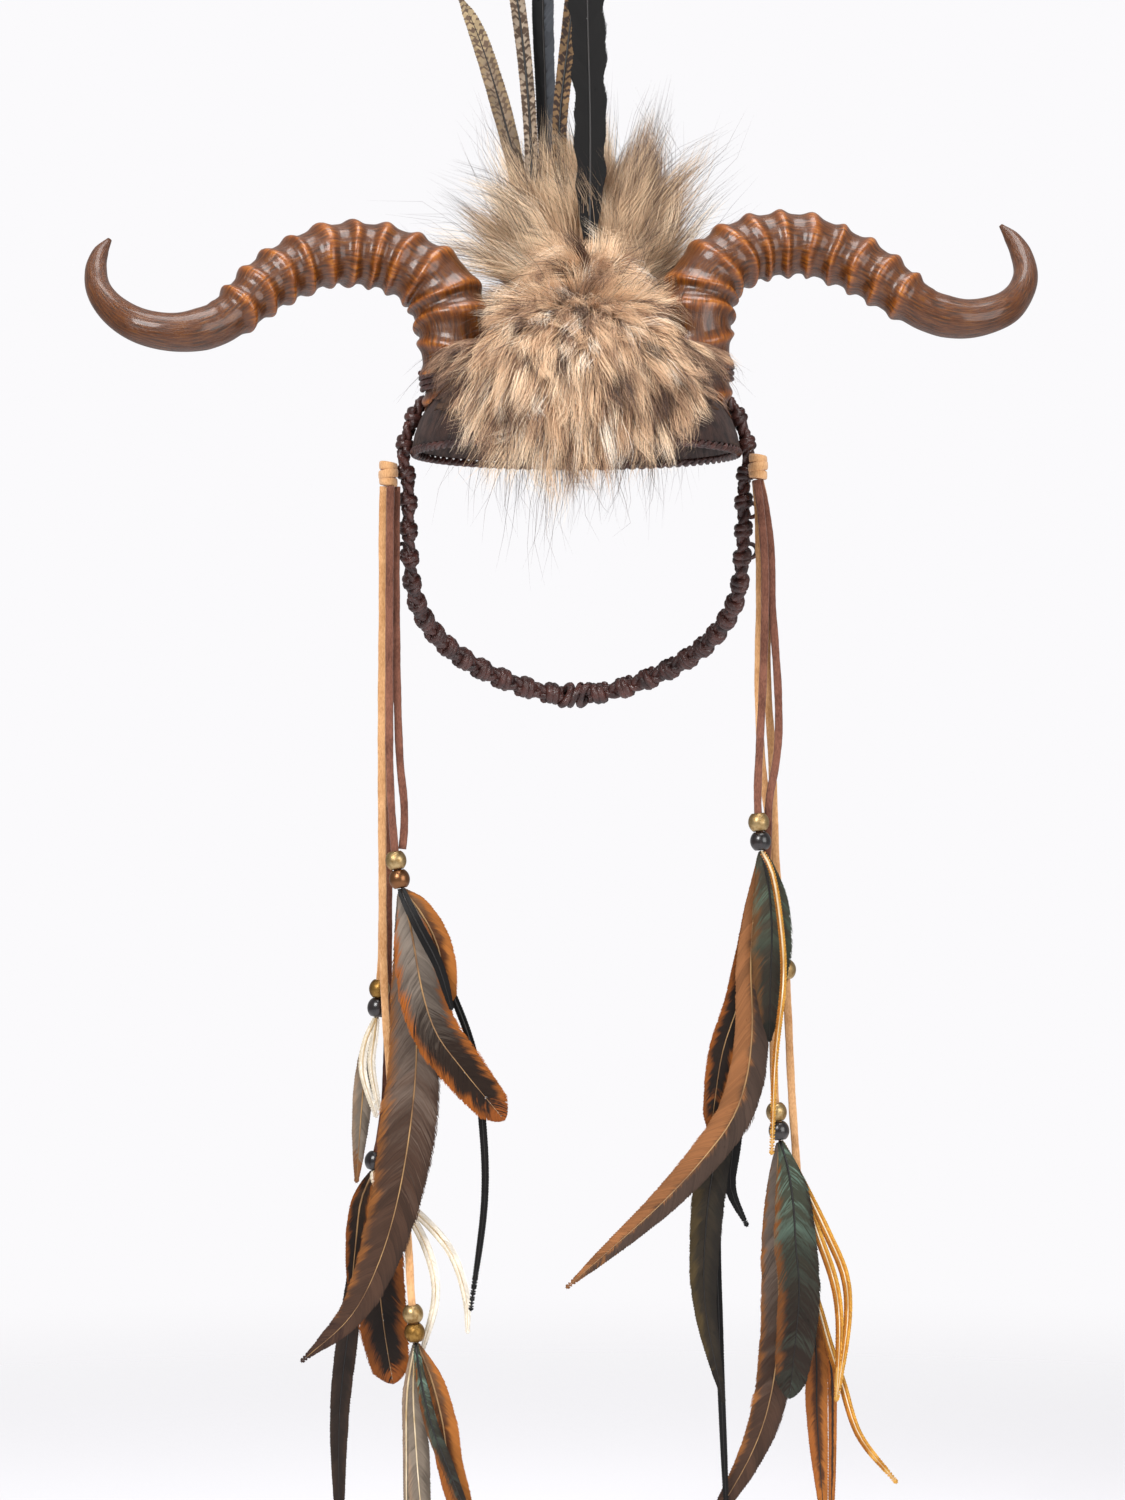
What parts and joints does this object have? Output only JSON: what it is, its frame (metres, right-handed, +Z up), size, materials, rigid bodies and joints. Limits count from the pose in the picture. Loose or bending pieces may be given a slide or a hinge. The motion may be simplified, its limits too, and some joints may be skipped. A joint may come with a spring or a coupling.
{
  "type": "feathered headdress",
  "caption": "Feathered headdress: open leather cap with curled ringed horns, fur front and ruff, upright feathers, knotted side cords, and beaded suede laces with hanging feathers.",
  "frame": {"origin": "crown of the head, where the inside of the cap rests on it", "axes": "+Z up, the front of the headdress faces -Y, +X is at the right of someone who looks at its front"},
  "size_m": [0.4009, 0.1974, 0.7959],
  "materials": {
    "cap_leather": "dark brown leather, satin",
    "cord_leather": "dark brown knotted leather cord",
    "horn": "cast resin horn, brown and glossy",
    "fur": "tan fur",
    "suede_tan": "tan suede lace",
    "suede_brown": "brown suede lace",
    "brass": "antique brass",
    "brass_dark": "darkened antique brass",
    "copper_brown": "copper brown metal",
    "black_wood": "black polished wood",
    "feather_black": "black feather",
    "feather_black_grey": "black feather with a blue-grey half",
    "feather_barred_dark": "black and cream barred feather",
    "feather_barred_tan": "tan feather with dark bars",
    "feather_barred_gold": "golden feather with dark bars",
    "feather_brown_orange": "dark brown feather with orange edges",
    "feather_dark_brown": "dark brown feather",
    "feather_orange": "dyed orange feather",
    "feather_tan_orange": "brown feather with a tan edge",
    "feather_taupe": "grey-brown feather",
    "feather_grey": "grey feather",
    "feather_olive": "olive brown feather",
    "feather_green": "green and copper sheen feather",
    "feather_cream": "cream biot feather",
    "feather_gold": "golden dyed biot feather"
  },
  "bodies": {
    "root": {"cap": "cap_leather", "horn_left": "horn", "horn_right": "horn", "fur_front": "fur", "fur_ruff": "fur", "tall_feather_tan": "feather_barred_tan", "tall_feather_barred": "feather_barred_dark", "tall_feather_grey": "feather_black_grey", "tall_feather_golden": "feather_barred_gold", "tall_feather_black": "feather_black", "strap_left": "cord_leather", "strap_right": "cord_leather", "lace_knot_left": "suede_tan", "lace_knot_right": "suede_tan", "lace_left_tan": "suede_tan", "bead_left_tan_upper": "brass", "bead_left_tan_lower": "brass_dark", "lace_left_brown": "suede_brown", "bead_left_brown_upper": "brass", "bead_left_brown_lower": "copper_brown", "lace_left_brown_second": "suede_brown", "lace_left_rear": "suede_tan", "bead_left_rear_upper": "brass_dark", "bead_left_rear_lower": "black_wood", "lace_left_low": "suede_brown", "bead_left_low": "black_wood", "lace_right_tan": "suede_tan", "bead_right_tan": "brass", "lace_right_tan_second": "suede_tan", "bead_right_tan_second_upper": "brass", "bead_right_tan_second_lower": "black_wood", "lace_right_brown": "suede_brown", "bead_right_brown_upper": "brass", "bead_right_brown_lower": "black_wood", "lace_right_brown_second": "suede_brown", "left_slim_black": "feather_black", "left_brown_leaf": "feather_brown_orange", "left_orange_edge": "feather_orange", "left_long_taupe": "feather_taupe", "left_black_biot": "feather_black", "left_cream_biots": "feather_cream", "left_grey_leaf": "feather_grey", "left_white_biots": "feather_cream", "left_rear_brown": "feather_brown_orange", "left_dark_leaf": "feather_brown_orange", "left_dark_long": "feather_dark_brown", "left_green_feather": "feather_green", "left_grey_quill": "feather_grey", "left_orange_feather": "feather_orange", "right_golden_quill": "feather_gold", "right_dark_leaf": "feather_green", "right_long_tan": "feather_tan_orange", "right_rear_dark": "feather_brown_orange", "right_olive_long": "feather_olive", "right_black_biot": "feather_black", "right_green_leaf": "feather_green", "right_orange_biots": "feather_gold", "right_grey_long": "feather_taupe", "right_yellow_biot": "feather_gold", "right_orange_feather": "feather_orange"}
  },
  "joints": []
}
